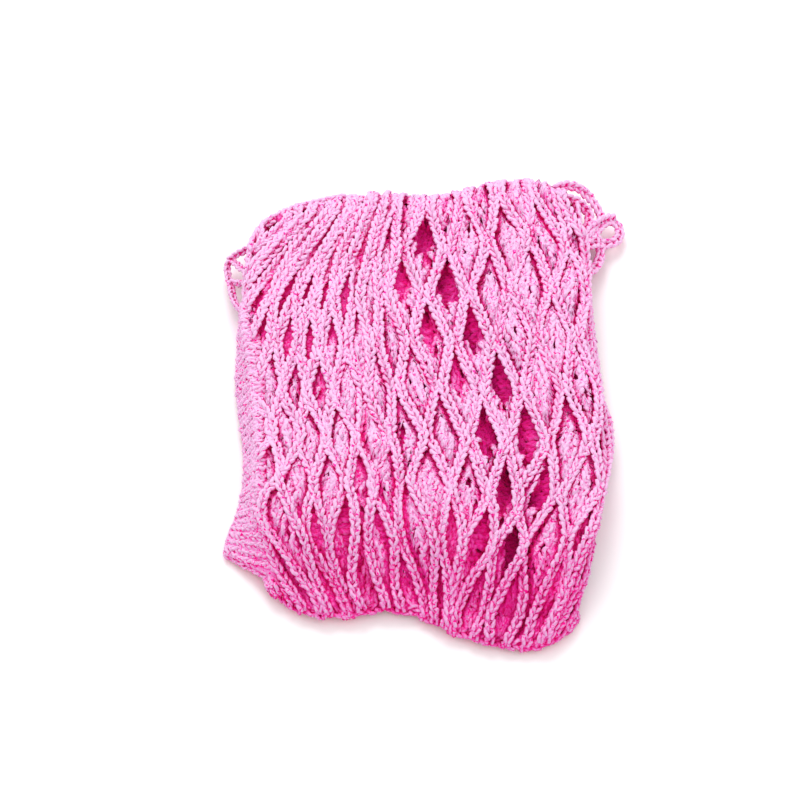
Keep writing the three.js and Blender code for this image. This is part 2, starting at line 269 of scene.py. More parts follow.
def wander(a, b, seed):
    """A smooth random field of two coordinates, from about -1 to 1."""
    source = np.random.default_rng(seed)
    total = np.zeros_like(a)
    for _ in range(WANDER_WAVES):
        turn = source.uniform(0, 2 * math.pi)
        speed = source.uniform(WANDER_SLOWEST, WANDER_FASTEST)
        start = source.uniform(0, WANDER_LAST_START)
        total += np.sin(speed * (a * math.cos(turn) + b * math.sin(turn)) + start)
    return total / math.sqrt(WANDER_WAVES)


def run_along(row):
    """How far up the bundle a row lies, from the near edge 0 to the far fold 1."""
    back = (row - FOLD_END_ROW) / (ROWS - FOLD_END_ROW)
    return np.where(row <= FOLD_START_ROW, row / FOLD_START_ROW, 1 - np.clip(back, 0, 1) * LOWER_RUN_SHARE)


def bundle_width(along):
    return read_column(SECTIONS_ALONG, "right", along) - read_column(SECTIONS_ALONG, "left", along)


def bundle_point(across, row, level):
    """A point of the folded bag, level being its height out of the middle between the walls."""
    near = read_column(SECTIONS_ACROSS, "near", across)
    far = read_column(SECTIONS_ACROSS, "far", across)
    lower_z = CORD_THICK / 2 + LAYER_PITCH / 2
    upper_z = lower_z + 2 * FOLD_RADIUS
    fold_y = far - FOLD_RADIUS - (LAYER_PITCH + CORD_THICK) / 2
    side = np.minimum(across, 1 - across) * SIDE_COLUMNS
    offset = level * rounded_edge(side, SIDE_ROUND_COLUMNS) * rounded_edge(row, BASE_ROUND_ROWS)

    upper_y = near + row / FOLD_START_ROW * (fold_y - near)
    rise = np.clip((upper_y - near - DROOP_START) / DROOP_LENGTH, 0, 1)
    slope = np.arctan(smooth_slope(rise) * (upper_z - lower_z) / DROOP_LENGTH)
    upper_height = lower_z + (upper_z - lower_z) * smooth(rise) + offset * np.cos(slope)
    upper_y = upper_y - offset * np.sin(slope)

    angle = np.pi * np.clip((row - FOLD_START_ROW) / (FOLD_END_ROW - FOLD_START_ROW), 0, 1)
    radius = FOLD_RADIUS + offset
    turn_y = fold_y + radius * np.sin(angle)
    turn_height = lower_z + FOLD_RADIUS + radius * np.cos(angle)

    back = (row - FOLD_END_ROW) / (ROWS - FOLD_END_ROW)
    lower_y = fold_y + back * (near + MOUTH_SETBACK - fold_y)

    on_top = row <= FOLD_START_ROW
    in_turn = row < FOLD_END_ROW
    y = np.where(on_top, upper_y, np.where(in_turn, turn_y, lower_y))
    height = np.where(on_top, upper_height, np.where(in_turn, turn_height, lower_z - offset))
    along_lower = (lower_y - near) / (fold_y - near)
    along = np.where(on_top, row / FOLD_START_ROW, np.where(in_turn, 1, along_lower))
    below = np.where(on_top, 0, np.where(in_turn, (1 - np.cos(angle)) / 2, 1))

    left = read_column(SECTIONS_ALONG, "left", along) + below * LOWER_RUN_INSET
    right = read_column(SECTIONS_ALONG, "right", along) - below * LOWER_RUN_INSET
    x = left + across * (right - left) + below * LOWER_RUN_SHIFT * np.sin(np.pi * across)
    corner = np.clip((along - CORNER_SWEEP_START) / (1 - CORNER_SWEEP_START), 0, 1)
    x = x + CORNER_SWEEP * (1 - across) ** 2 * corner**2

    valley = read_column(SECTIONS_ALONG, "valley", along)
    swell = CROWN * (1 - np.minimum(np.abs(x) / CROWN_HALF_WIDTH, 1) ** 2)
    swell = swell * (1 - np.minimum(np.abs(y) / CROWN_HALF_LENGTH, 1) ** 2)
    dip = VALLEY_DEPTH * np.exp(-(((x - valley) / VALLEY_HALF_WIDTH) ** 2))
    z = CORD_THICK / 2 + (height - CORD_THICK / 2) * (1 + swell - dip)
    return np.stack([x, y, z], axis=-1)


def column_place(column, along):
    """Where a net column stands across the bundle, whose sides are at 0 and 1."""
    near = read_column(COLUMN_PLACES, "near", column / NET_COLUMNS)
    far = read_column(COLUMN_PLACES, "far", column / NET_COLUMNS)
    return blend(near, far, rising(along, OPENING))


def knot_wave(turns):
    """Swings between -1 and 1, nearly straight from knot to knot."""
    straight = np.arcsin(KNOT_SHARPNESS * np.cos(np.pi * turns)) / math.asin(KNOT_SHARPNESS)
    return np.clip(KNOT_LENGTH * straight, -1, 1)


def drawn_in(place, along):
    """Where a line stands across the bundle once the ends are drawn together."""
    left = np.clip(place, DRAW_IN_BEYOND, 1)
    right = np.clip(1 - place, DRAW_IN_BEYOND, 1)

    def share(pull, side, part):
        nearness = np.clip(1 - side / pull.reach, 0, DRAW_IN_MOST)
        return pull.share * np.clip(part, 0, 1) ** pull.power * nearness

    place = place + share(FAR_LEFT, left, (along - FAR_LEFT.along) / (1 - FAR_LEFT.along))
    place = place - share(FAR_RIGHT, right, (along - FAR_RIGHT.along) / (1 - FAR_RIGHT.along))
    place = place + share(NEAR_LEFT, left, 1 - along / NEAR_LEFT.along)
    return place - share(NEAR_RIGHT, right, 1 - along / NEAR_RIGHT.along)


def net_place(column, along):
    """Where a column of the outer wall stands across the bundle, beyond 0 and 1 where it lies at a side."""
    column = np.zeros_like(along) + column
    at_left, at_right = np.minimum(column, 0), np.maximum(column - NET_COLUMNS, 0)
    left_place = blend(SIDE_PLACE, SIDE_PLACE_FAR_LEFT, rising(along, SIDE_PLACE_WIDENS))
    return drawn_in(column_place(column, along) + left_place * at_left + SIDE_PLACE * at_right, along)


def wall_line(index, rows, outer, level, mirrored=False):
    """One chain of a wall from base to mouth, swinging from knot to knot between its neighbours."""
    middle = (index + 0.5) * LINE_STEP
    along = run_along(rows)
    seed = OUTER_SEED if outer else INNER_SEED
    spot = np.full_like(rows, middle)

    def place(column):
        if mirrored:
            return 1 - column_place(NET_COLUMNS - column, along)
        return net_place(column, along)

    def strays(kind, share):
        return kind.amount * share * wander(spot * kind.across, rows * kind.along, seed + kind.seed)

    width = bundle_width(along)
    low, high = place(spot - LINE_STEP / 2), place(spot + LINE_STEP / 2)
    column_width = (high - low) / LINE_STEP * width
    gap = blend(KNOT_GAP_OPEN, KNOT_GAP_CLOSED, falling(middle / NET_COLUMNS, GATHERED_COLUMNS))
    gap = blend(gap, KNOT_GAP_NEAR, 1 - rising(along, KNOT_GAP_NEAR_ENDS))
    swing = np.clip(LINE_STEP / 2 - 0.5 * gap / column_width, SWING_LEAST, SWING_MOST)
    uneven = 1 - EVEN_SHARE * rising(middle / NET_COLUMNS, EVEN_ACROSS) * rising(along, EVEN_ALONG)
    swing = swing * (1 + strays(SWING_STRAY, uneven))
    swing = swing * blend(SWING_AT_BASE, 1, rising(rows, SWING_GROWS))
    swing = swing * (-1) ** index
    phase = rows - NET_PHASE if outer else rows + NET_PHASE
    wave = knot_wave(phase + strays(PHASE_STRAY, uneven))
    crumpled = strays(CRUMPLE_STRAY, falling(rows, CRUMPLE_ROWS))
    across = place(middle - swing * wave + strays(PLACE_STRAY, uneven) + crumpled)
    points = bundle_point(np.clip(across, 0, 1), rows, np.full_like(rows, level))
    points[:, 2] += (np.minimum(across, 0) + np.minimum(1 - across, 0)) * width
    points[:, 2] += KNOT_LIFT * (-1) ** index * np.abs(wave) ** KNOT_LIFT_POWER
    return points, across


def line_normals(across, rows, level):
    """Outward direction of the bundle at each point, leaning outwards at its sides."""
    out = bundle_point(across, rows, np.full_like(rows, level + NORMAL_STEP))
    inside = bundle_point(across, rows, np.full_like(rows, level - NORMAL_STEP))
    normal = (out - inside) * np.sign(level)
    normal[np.linalg.norm(normal, axis=1) < NO_LENGTH] = (0, 0, 1)
    normal = normal / np.linalg.norm(normal, axis=1, keepdims=True)
    lean = 1 - np.clip(np.minimum(across, 1 - across) / SIDE_LEAN_WIDTH, 0, 1)
    normal[:, 0] += np.where(across < 0.5, -1, 1) * SIDE_LEAN * lean
    return normal / np.linalg.norm(normal, axis=1, keepdims=True)


def new_piece(name, verts, faces, material):
    """A smooth mesh on the bag's body, from points in mm kept above the floor."""
    verts[:, 2] = np.maximum(verts[:, 2], FLOOR_CLEARANCE)
    mesh = bpy.data.meshes.new(name)
    mesh.from_pydata((verts * MM).tolist(), [], faces)
    mesh.polygons.foreach_set("use_smooth", np.ones(len(mesh.polygons), dtype=bool))
    mesh.materials.append(material)
    mesh.update()
    obj = bpy.data.objects.new(name, mesh)
    bpy.context.scene.collection.objects.link(obj)
    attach(obj, "root")
    return obj


# Depth is how far below the outer wall a chain lies, seed and width serve its creases and its stitches
Line = namedtuple("Line", "points normals depth seed width", defaults=(0, 1.0))


class Yarn:
    """Yarn tubes joined into one mesh."""

    def __init__(self):
        self.verts, self.faces, self.uvs, self.depths = [], [], [], []
        self.count = 0

    def tube(self, path, normals, depth, diameter, sides):
        rings = len(path)
        tangent = np.gradient(path, axis=0)
        tangent /= np.maximum(np.linalg.norm(tangent, axis=1, keepdims=True), SHORTEST)
        side = np.cross(tangent, normals)
        side /= np.maximum(np.linalg.norm(side, axis=1, keepdims=True), SHORTEST)
        up = np.cross(side, tangent)
        angle = 2 * np.pi * np.arange(sides) / sides
        lengths = line_lengths(path)
        swell = np.sin(lengths * YARN_UNEVEN_SPEED + self.count % YARN_UNEVEN_STARTS)
        radius = diameter / 2 * (1 + YARN_UNEVEN * swell)
        ring = side[:, None] * np.cos(angle)[None, :, None] + up[:, None] * np.sin(angle)[None, :, None]
        verts = (path[:, None] + ring * radius[:, None, None]).reshape(-1, 3)
        i, j = np.meshgrid(np.arange(rings - 1), np.arange(sides), indexing="ij")
        following = (j + 1) % sides
        corners = [i * sides + j, i * sides + following, (i + 1) * sides + following, (i + 1) * sides + j]
        quads = np.stack(corners, axis=-1).reshape(-1, 4)
        corner_uvs = [
            np.stack([lengths[i], j / sides], -1),
            np.stack([lengths[i], (j + 1) / sides], -1),
            np.stack([lengths[i + 1], (j + 1) / sides], -1),
            np.stack([lengths[i + 1], j / sides], -1),
        ]
        first, last = list(range(sides)), list(range((rings - 1) * sides, rings * sides))
        self.verts.append(verts)
        self.faces.extend((quads + self.count).tolist())
        self.faces.append([self.count + k for k in reversed(first)])
        self.faces.append([self.count + k for k in last])
        self.uvs.append(np.stack(corner_uvs, axis=2).reshape(-1, 2))
        self.uvs.append(np.zeros((2 * sides, 2)))
        self.depths.append(np.repeat(depth, sides))
        self.count += len(verts)

    def chain(self, line, kind):
        """A crocheted chain along a line."""
        lengths = line_lengths(line.points)
        stitches = max(2, round(lengths[-1] / kind.pitch))
        pitch = lengths[-1] / (stitches + STITCH_REACH - 1)
        stitch = np.array(CHAIN_STITCH)
        at = (np.arange(stitches)[:, None] + stitch[None, :, 1]).ravel() * pitch

        def read(values):
            return np.stack([np.interp(at, lengths, values[:, k]) for k in range(3)], axis=-1)

        tangent = np.gradient(line.points, axis=0)
        centre, ahead, out = read(line.points), read(tangent), read(line.normals)
        ahead /= np.linalg.norm(ahead, axis=1, keepdims=True)
        side = np.cross(ahead, out)
        side /= np.linalg.norm(side, axis=1, keepdims=True)
        out = np.cross(side, ahead)
        turn = wander(at * TWIST_SPEED, np.full_like(at, TWIST_SPREAD * self.count), TWIST_SEED)
        angle = kind.twist * turn[:, None]
        side, out = side * np.cos(angle) + out * np.sin(angle), out * np.cos(angle) - side * np.sin(angle)
        half_width = (kind.width - kind.yarn) / 2 / STITCH_SIDE
        width = np.interp(at, lengths, np.zeros_like(lengths) + line.width)
        sideways = np.tile(stitch[:, 0], stitches) * half_width * width
        outward = np.tile(stitch[:, 2], stitches) * kind.depth
        path = centre + side * sideways[:, None] + out * outward[:, None]
        path = path + RANDOM.normal(0, kind.ragged, path.shape)
        self.tube(path, out, np.interp(at, lengths, line.depth), kind.yarn, kind.sides)

    def piece(self, name, material, ceiling=None):
        verts, depth = np.concatenate(self.verts), np.concatenate(self.depths)
        if ceiling is not None:
            lowered = ceiling.lowered(verts)
            # Yarn pressed lower counts as deeper, so the material gives it more painted shade
            depth = depth + verts[:, 2] - lowered
            verts[:, 2] = lowered
        obj = new_piece(name, verts, self.faces, material)
        deep = depth[np.concatenate([np.asarray(face) for face in self.faces])]
        for layer_name, values in (("yarn", np.concatenate(self.uvs)), ("depth", np.stack([deep, deep], -1))):
            layer = obj.data.uv_layers.new(name=layer_name)
            layer.data.foreach_set("uv", values.astype(np.float32).ravel())
        return obj


# Yarn material: painted shade makes it hot pink in its hollows, on its sides away from the key light, on
# chains lying deep and towards the near base; pale pink where it lies open
YARN_SURFACE = {
    "Roughness": 0.9,
    "Specular IOR Level": 0.04,
    "Sheen Weight": 0.05,
    "Sheen Roughness": 0.6,
    "Sheen Tint": (1.0, 0.85, 0.95, 1),
}
PLIES = 3.0
PLY_TURNS_PER_MM = 0.42
FIBRE_SCALE = 1100.0
SPECK_SHADE_SCALE = 620.0
DYE_SCALE = 60.0
FIBRE_HEIGHT = 0.5
BUMP_STRENGTH = 0.8
BUMP_HEIGHT = 0.0006
# Painted shade: how far the hollows are sampled, the key light's side they are sampled towards, and the
# depths in mm over which the shade deepens
HOLLOW_REACH = 0.012
HOLLOW_SAMPLES = 8
LIGHT_SIDE = (-0.2, 0.9, 0.6)
SHALLOW = 1.2
DEEP = 6.0
DEEPEST = 12.0
# Yarn colours by openness: the hot pink tones are painted shade, the palest is the yarn's own pink
Tone = namedtuple("Tone", "openness colour")
YARN_TONES = [
    Tone(0.04, (1.00, 0.002, 0.240)),
    Tone(0.16, (1.00, 0.010, 0.350)),
    Tone(0.28, (0.98, 0.110, 0.530)),
    Tone(0.39, (0.90, 0.350, 0.700)),
    Tone(0.55, (0.86, 0.520, 0.780)),
]


def yarn_material(name):
    material = bpy.data.materials.new(name)
    material.use_nodes = True
    nodes, links = material.node_tree.nodes, material.node_tree.links
    shader = nodes["Principled BSDF"]
    for socket, value in YARN_SURFACE.items():
        shader.inputs[socket].default_value = value
    place = nodes.new("ShaderNodeTexCoord")

    def worked_out(operation, *values):
        node = nodes.new("ShaderNodeMath")
        node.operation = operation
        for socket, value in zip(node.inputs, values):
            if isinstance(value, float):
                socket.default_value = value
            else:
                links.new(value, socket)
        return node.outputs[0]

    def mapped(value, **ends):
        node = nodes.new("ShaderNodeMapRange")
        links.new(value, node.inputs["Value"])
        for end, number in ends.items():
            node.inputs[end.replace("_", " ").title()].default_value = number
        return node.outputs[0]

    def noise(scale, detail):
        node = nodes.new("ShaderNodeTexNoise")
        node.inputs["Scale"].default_value = scale
        node.inputs["Detail"].default_value = detail
        links.new(place.outputs["Object"], node.inputs["Vector"])
        return node.outputs["Fac"]

    def parts_of(vector):
        node = nodes.new("ShaderNodeSeparateXYZ")
        links.new(vector, node.inputs[0])
        return node.outputs

    def uv_parts(layer):
        node = nodes.new("ShaderNodeUVMap")
        node.uv_map = layer
        return parts_of(node.outputs["UV"])

    def openness_around():
        """How open the space is on the lit side of the yarn."""
        facing = nodes.new("ShaderNodeNewGeometry")
        lit_side = nodes.new("ShaderNodeVectorMath")
        lit_side.inputs[1].default_value = LIGHT_SIDE
        links.new(facing.outputs["Normal"], lit_side.inputs[0])
        towards = nodes.new("ShaderNodeVectorMath")
        towards.operation = "NORMALIZE"
        links.new(lit_side.outputs[0], towards.inputs[0])
        hollow = nodes.new("ShaderNodeAmbientOcclusion")
        hollow.samples = HOLLOW_SAMPLES
        hollow.inputs["Distance"].default_value = HOLLOW_REACH
        links.new(towards.outputs[0], hollow.inputs["Normal"])
        return hollow.outputs["AO"]

    yarn_uv = uv_parts("yarn")
    depth = uv_parts("depth")["X"]
    lengthwise = parts_of(place.outputs["Object"])["Y"]
    plies = worked_out("MULTIPLY", yarn_uv["Y"], PLIES)
    ply = worked_out("PINGPONG", worked_out("MULTIPLY_ADD", yarn_uv["X"], PLY_TURNS_PER_MM, plies), 0.5)

    # Painted shade in the ply grooves and in small specks of crevice between the fibres
    groove_shade = mapped(ply, from_max=0.2, to_min=0.75)
    speck_shade = mapped(noise(SPECK_SHADE_SCALE, 2.0), from_min=0.33, from_max=0.42, to_min=0.25)
    # Painted shade: hot pink deepens towards the near base, which faces away from the key light
    base_shade_tone = mapped(lengthwise, from_min=-0.105, from_max=-0.03, to_min=0.59)
    # Painted shade: hot pink deepens on chains lying deep inside the bundle
    depth_shade_tone = mapped(depth, from_min=SHALLOW, from_max=DEEP, to_min=1.0, to_max=0.42)
    # Painted shade: hot pink where hollows close in on the lit side, on deep chains and towards the near base
    shade = worked_out("MULTIPLY", openness_around(), worked_out("MULTIPLY", base_shade_tone, depth_shade_tone))
    openness = worked_out("MULTIPLY", shade, worked_out("MULTIPLY", groove_shade, speck_shade))
    ramp = nodes.new("ShaderNodeValToRGB")
    tones = ramp.color_ramp.elements
    for element, tone in ((tones[0], YARN_TONES[0]), (tones[1], YARN_TONES[-1])):
        element.color = (*tone.colour, 1)
        element.position = tone.openness
    for tone in YARN_TONES[1:-1]:
        tones.new(tone.openness).color = (*tone.colour, 1)
    links.new(openness, ramp.inputs[0])

    dye_value = mapped(noise(DYE_SCALE, 2.0), to_min=0.92, to_max=1.06)
    # Painted shade: the yarn darkens towards the near base
    base_shade_value = mapped(lengthwise, from_min=-0.11, from_max=-0.03, to_min=0.88)
    # Painted shade: chains lying deep inside the bundle darken
    sunk_shade_value = mapped(depth, from_min=DEEP / 2, from_max=DEEPEST, to_min=1.0, to_max=0.5)
    place_shade_value = worked_out("MULTIPLY", base_shade_value, sunk_shade_value)
    # Value: random tone of the dye times the painted shade
    tint = nodes.new("ShaderNodeHueSaturation")
    links.new(worked_out("MULTIPLY", dye_value, place_shade_value), tint.inputs["Value"])
    links.new(ramp.outputs["Color"], tint.inputs["Color"])
    links.new(tint.outputs["Color"], shader.inputs["Base Color"])

    bump = nodes.new("ShaderNodeBump")
    bump.inputs["Strength"].default_value = BUMP_STRENGTH
    bump.inputs["Distance"].default_value = BUMP_HEIGHT
    links.new(worked_out("MULTIPLY_ADD", noise(FIBRE_SCALE, 3.0), FIBRE_HEIGHT, ply), bump.inputs["Height"])
    links.new(bump.outputs["Normal"], shader.inputs["Normal"])
    return material


yarn = yarn_material("pink_yarn")

# Outer wall, from under the base to round the far fold
BASE_WRAP_ROWS = 0.45
OUTER_END_ROW = 9.4
FEWEST_POINTS = 8
BASE_LEAN = 1.5
HEIGHT_STRAY = Stray(0.6, 2.1, 1.1, 11)
HEIGHT_STRAY_BASE = 0.7
HEIGHT_STRAY_ROWS = Span(3.0, 1.5)
DIVE_EVERY = 3
DIVE_DEPTH = 2.5
DIVE_ALONG = Span(0.7, 0.15)
WIDTH_AT_BASE = 0.82
WIDTH_GROWS = Span(1.6, 2.4)


def signed_rows(start, end):
    """Rows from the inner wall, below 0, round the base to the outer wall, close together at the base."""
    rows = np.arange(start, end + SAMPLE_STEP / 2, SAMPLE_STEP)
    near_base = np.abs(rows) < BASE_ROUND_ROWS
    return np.where(near_base, np.sign(rows) * rows**2 / BASE_ROUND_ROWS, rows)


def outer_line(index):
    """One chain of the outer wall where it shows, or None."""
    rows = signed_rows(-BASE_WRAP_ROWS, OUTER_END_ROW)
    points, across = wall_line(index, np.abs(rows), outer=True, level=OUTER_LEVEL)
    beyond = SIDE_SHOWN * rising(np.abs(rows), SIDE_SHOWN_GROWS)
    shown = (across > -beyond) & (across < 1 + beyond)
    rows, points, across = rows[shown], points[shown], np.clip(across[shown], 0, 1)
    if len(rows) < FEWEST_POINTS:
        return None
    up = np.abs(rows)
    under = rows < 0
    points[under] = bundle_point(across[under], up[under], np.full(under.sum(), -OUTER_LEVEL))
    normals = line_normals(across, up, OUTER_LEVEL)
    normals[under] *= -1
    base = up < BASE_ROUND_ROWS
    normals[base, 1] -= BASE_LEAN * (1 - up[base] / BASE_ROUND_ROWS)
    normals /= np.linalg.norm(normals, axis=1, keepdims=True)
    uneven_height = HEIGHT_STRAY.amount + HEIGHT_STRAY_BASE * falling(up, HEIGHT_STRAY_ROWS)
    spot = np.full_like(rows, index * HEIGHT_STRAY.across)
    points[:, 2] += uneven_height * wander(spot, rows * HEIGHT_STRAY.along, HEIGHT_STRAY.seed)
    dive = np.zeros_like(rows)
    if index % DIVE_EVERY == 1 and index < NET_COLUMNS:
        dive = DIVE_DEPTH * rising(run_along(up), DIVE_ALONG)
    points[:, 2] = np.maximum(points[:, 2] - dive, LOWEST_MIDDLE)
    width = blend(WIDTH_AT_BASE, 1, rising(up, WIDTH_GROWS))
    return Line(points, normals, np.zeros_like(rows), index, width)


def without_none(lines):
    return [line for line in lines if line is not None]


outer_lines = without_none(outer_line(index) for index in range(-SIDE_LINES_LEFT, LINES + SIDE_LINES_RIGHT))

# Creases, where the gathered net is pressed down beside the outer wall's chains
CREASE_SHIFT = 1.3
CREASE_CLOSED = 2.5
CREASE_OPEN = 4.6
CREASE_STRAY = Stray(0.8, 5.3, 0.13, 17)
CREASE_TOP = 1.2


class Ceiling:
    """How high the gathered net may stand below the outer wall's chains, on a grid seen from above."""

    STEP = 0.5
    HALF_WIDTH, HALF_LENGTH = 115, 150
    SOFTNESS = 0.35
    NO_LIMIT = 99.0
    FACING_UP = 0.45
    FARTHEST_OVER = 30

    def __init__(self, lines):
        self.across = round(2 * self.HALF_WIDTH / self.STEP) + 1
        self.along = round(2 * self.HALF_LENGTH / self.STEP) + 1
        self.height = np.full(self.across * self.along, self.NO_LIMIT)
        reach = round(CREASE_OPEN / self.STEP) + 1
        near_cells = np.arange(-reach, reach + 1)
        for line in lines:
            points = line.points[line.normals[:, 2] > self.FACING_UP] + np.array([0, -CREASE_SHIFT, 0])
            size = self.crease(points, line.seed)
            column = np.round((points[:, 0] + self.HALF_WIDTH) / self.STEP).astype(int)
            row = np.round((points[:, 1] + self.HALF_LENGTH) / self.STEP).astype(int)
            cell_x = column[:, None, None] + near_cells[None, :, None]
            cell_y = row[:, None, None] + near_cells[None, None, :]
            away_x = cell_x * self.STEP - self.HALF_WIDTH - points[:, 0, None, None]
            away_y = cell_y * self.STEP - self.HALF_LENGTH - points[:, 1, None, None]
            square = size[:, None, None] ** 2 - away_x**2 - away_y**2
            below = points[:, 2, None, None] - np.sqrt(np.maximum(square, 0))
            limit = np.where(square > 0, below, self.NO_LIMIT)
            np.minimum.at(self.height, (cell_x * self.along + cell_y).ravel(), limit.ravel())

    def crease(self, points, seed):
        """How wide the crease beside a chain is, from closed to open."""
        spot = np.full(len(points), seed * CREASE_STRAY.across)
        opened = wander(spot, points[:, 1] * CREASE_STRAY.along, CREASE_STRAY.seed)
        return blend(CREASE_CLOSED, CREASE_OPEN, smooth(0.5 + CREASE_STRAY.amount * opened))

    def lowered(self, verts):
        """Heights of the points once they are pressed below the ceiling."""
        column = np.clip((verts[:, 0] + self.HALF_WIDTH) / self.STEP, 0, self.across - 2)
        row = np.clip((verts[:, 1] + self.HALF_LENGTH) / self.STEP, 0, self.along - 2)
        x, y = column.astype(int), row.astype(int)
        here, beyond = self.height[x * self.along + y], self.height[(x + 1) * self.along + y + 1]
        limit = np.minimum(here, beyond) + CREASE_TOP
        over = np.clip((verts[:, 2] - limit) / self.SOFTNESS, -self.FARTHEST_OVER, self.FARTHEST_OVER)
        return verts[:, 2] - self.SOFTNESS * np.log1p(np.exp(over))


ceiling = Ceiling(outer_lines)

# More of the net gathered inside the bag, pressed up against the outer wall, its chains crossing
FILL_SPACING = 0.0335
FILL_SLANT = 0.42
FILL_ROWS = np.arange(0.1, FOLD_END_ROW, 0.06)
FILL_EDGE = 0.015
FILL_FEWEST_POINTS = 10
FILL_STRAY = Stray(0.016, 40, 4, 0)
FILL_DROP = -1.1
FILL_DROP_STRAY = Stray(0.3, 40, 2, 2)
FILL_BASE_STRAY = Stray(0.8, 0.22, 0.07, 57)
FILL_BASE_STRAY_ROWS = Span(3.4, 1.4)
FILL_DROP_LEFT = 5.0
FILL_LEFT_X = Span(-25, 25)
FILL_LEFT_ROWS = Span(4.6, 1.0)
FILL_RISE_RIGHT = 0.5
FILL_RIGHT_X = Span(20, 25)
FILL_RIGHT_ROWS = Span(3, 1.0)
FILL_DROP_BASE = 1.5
FILL_DROP_BASE_LEFT = 0.2
FILL_BASE_X = Span(-25, 30)
FILL_BASE_ROWS = Span(2.4, 1.0)
FILL_SINK_NEAR = 2.6
FILL_SINK_NEAR_ROWS = Span(1.0, 0.7)
FILL_SINK_FAR = 0.4
FILL_SINK_FAR_LEFT = 2.6
FILL_SINK_FAR_ROWS = Span(7.5, 0.6)
FILL_SINK_LEFT = Span(0.45, 0.2)
FILL_SUNK = 0.9
HOLE_RISE = 0.25
HOLE_EDGE = Span(1.0, 0.6)
HOLES_END = Span(8.1, 0.3)
Hole = namedtuple("Hole", "column row depth")
HOLES = [
    Hole(5.5, 8.22, 6),
    Hole(6.5, 8.22, 7),
    Hole(7.5, 8.22, 6),
    Hole(9.5, 8.22, 6),
    Hole(6, 7.22, 9),
    Hole(5.5, 6.22, 8),
    Hole(6.5, 6.22, 10),
    Hole(6, 5.22, 8),
    Hole(7, 5.22, 10),
    Hole(6.5, 4.22, 6),
    Hole(7.5, 4.22, 12),
    Hole(7, 3.22, 9),
    Hole(8, 3.22, 12),
    Hole(7.5, 2.22, 12),
    Hole(8.5, 2.22, 10),
    Hole(7, 1.22, 6),
    Hole(8, 1.22, 10),
    Hole(1, 5.22, 6),
    Hole(2, 5.22, 6),
    Hole(2.5, 4.22, 5),
    Hole(2, 1.22, 5),
    Hole(3, 1.22, 5),
    Hole(3.5, 2.22, 3),
    Hole(4, 1.22, 5),
]


def hole_drop(across, rows):
    """How far the gathered net hangs down below the open diamonds."""
    along = np.minimum(rows / FOLD_START_ROW, 1)
    drop = np.zeros_like(rows)
    for hole in HOLES:
        low, middle, high = (net_place(hole.column + part, along) for part in (-0.5, 0, 0.5))
        away = 2 * np.abs(across - middle) / (high - low) + np.abs(rows - hole.row - HOLE_RISE)
        drop = np.maximum(drop, hole.depth * falling(away, HOLE_EDGE))
    return drop * (1 - rising(rows, HOLES_END))


def gathered_line(start, slant, seed):
    """One chain of the gathered net, crossing the bundle at a slant."""
    rows = FILL_ROWS
    spot = np.full_like(rows, start * FILL_STRAY.across)
    along = np.minimum(rows / FOLD_START_ROW, 1)
    across = start + slant * along
    across = across + FILL_STRAY.amount * wander(spot, rows * FILL_STRAY.along, seed + FILL_STRAY.seed)
    inside = (across > FILL_EDGE) & (across < 1 - FILL_EDGE)
    across, rows, spot = across[inside], rows[inside], spot[inside]
    if len(rows) < FILL_FEWEST_POINTS:
        return None
    sunk = rising(rows, FILL_SINK_FAR_ROWS) + falling(rows, FILL_SINK_NEAR_ROWS)
    sink_far = blend(FILL_SINK_FAR, FILL_SINK_FAR_LEFT, falling(across, FILL_SINK_LEFT))
    sink = np.where(rows > MIDDLE_ROW, sink_far, FILL_SINK_NEAR)
    points = bundle_point(across, rows, OUTER_LEVEL - sink * sunk)
    x, y, z = points.T
    stray, base_stray = FILL_DROP_STRAY, FILL_BASE_STRAY
    drop = hole_drop(across, rows)
    drop = drop + stray.amount * (1 + wander(spot, rows * stray.along, seed + stray.seed))
    crumpled = 1 + wander(x * base_stray.across, y * base_stray.along, base_stray.seed)
    drop = drop + base_stray.amount * falling(rows, FILL_BASE_STRAY_ROWS) * crumpled
    at_left = falling(x, FILL_LEFT_X) * rising(rows, FILL_LEFT_ROWS)
    at_right = rising(x, FILL_RIGHT_X) * rising(rows, FILL_RIGHT_ROWS)
    at_base = falling(rows, FILL_BASE_ROWS)
    base_drop = blend(FILL_DROP_BASE_LEFT, FILL_DROP_BASE, rising(x, FILL_BASE_X))
    drop = drop + FILL_DROP + (FILL_DROP_LEFT - FILL_DROP) * at_left + (base_drop - FILL_DROP) * at_base
    drop = drop - FILL_RISE_RIGHT * at_right
    points[:, 2] = np.maximum(np.where(sunk < FILL_SUNK, z - drop, z), LOWEST_MIDDLE)
    return Line(points, line_normals(across, rows, OUTER_LEVEL), np.maximum(drop, 0), seed)


def gathered_set(slant, seed):
    starts = np.arange(-abs(slant), 1 + abs(slant), FILL_SPACING)
    return without_none(gathered_line(start, slant, seed) for start in starts)


rising_lines = gathered_set(FILL_SLANT, seed=21)
falling_lines = gathered_set(-FILL_SLANT, seed=22)

# The net below the gathered chains, lower in the valley, in rows across the bundle
LINING_ACROSS = np.arange(0.05, 0.955, 0.012)
LINING_ROWS = np.arange(0.25, 8.2, 0.19)
LINING_DEPTH = 4.0
LINING_VALLEY = 6
LINING_VALLEY_WIDTH = 13
LINING_STRAY = Stray(0.03, 40, 3, 31)


